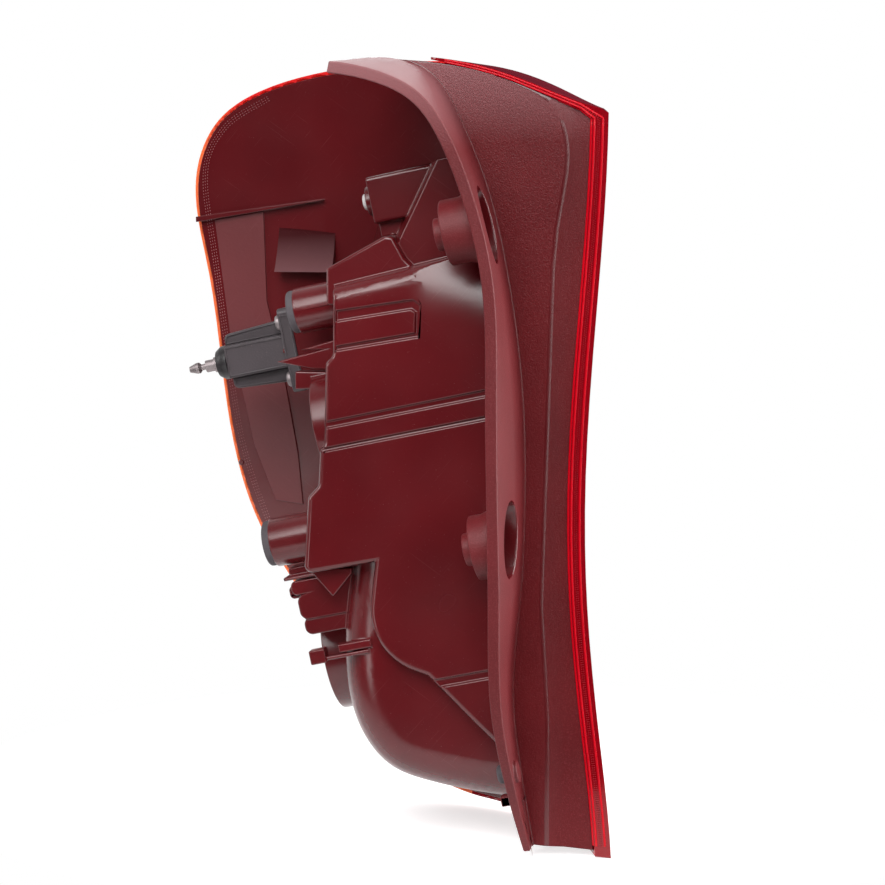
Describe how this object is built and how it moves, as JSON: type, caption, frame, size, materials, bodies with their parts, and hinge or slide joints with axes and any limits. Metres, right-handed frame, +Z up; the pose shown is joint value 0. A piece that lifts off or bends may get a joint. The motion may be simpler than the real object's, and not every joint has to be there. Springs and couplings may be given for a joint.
{
  "type": "tail light cluster",
  "caption": "Curved rear lamp for a car's corner: red wrap-round lens on a burgundy moulded housing with screw flange, locating stud, rubber buffers, bulb collars and reflector bowls.",
  "frame": {"origin": "centre of the locating stud's round land, on the stud's own axis", "axes": "+X rearward, +Y outboard, towards the wing, +Z up; the fixing direction is raked 12 degrees up from +X"},
  "size_m": [0.2567, 0.2066, 0.4132],
  "materials": {
    "housing_plastic": "satin burgundy moulding",
    "red_lens": "clear red, polished",
    "clear_lens": "clear, polished",
    "amber_lens": "amber, polished",
    "white_plastic": "off-white, matt",
    "stud_steel": "dull zinc",
    "black_plastic": "matt, dusty",
    "screw_steel": "blackened",
    "sleeve_steel": "zinc plated",
    "grey_rubber": "dull grey",
    "bulb_glass": "clear",
    "holder_plastic": "matt",
    "seal_rubber": "matt",
    "terminal_brass": "plain",
    "bowl_metal": "metallised"
  },
  "bodies": {
    "root": {"housing": "housing_plastic", "outer_lens": "red_lens", "lens_reverse_window": "clear_lens", "lens_indicator_window": "amber_lens", "box_pad": "white_plastic", "locating_stud": "stud_steel", "stud_collar": "black_plastic", "stud_bracket": "black_plastic", "bracket_screws": "screw_steel", "upper_screw_sleeve": "sleeve_steel", "lower_screw_sleeve": "sleeve_steel", "upper_buffer": "grey_rubber", "lower_buffer": "grey_rubber", "foot_buffer": "grey_rubber", "stop_bulb": "bulb_glass", "stop_bulb_holder": "holder_plastic", "stop_holder_seal": "seal_rubber", "stop_terminals": "terminal_brass", "stop_reflector": "bowl_metal", "reverse_bulb": "bulb_glass", "reverse_bulb_holder": "holder_plastic", "reverse_holder_seal": "seal_rubber", "reverse_terminals": "terminal_brass", "reverse_reflector": "bowl_metal", "indicator_bulb": "bulb_glass", "indicator_bulb_holder": "holder_plastic", "indicator_holder_seal": "seal_rubber", "indicator_terminals": "terminal_brass", "indicator_reflector": "bowl_metal"}
  },
  "joints": []
}
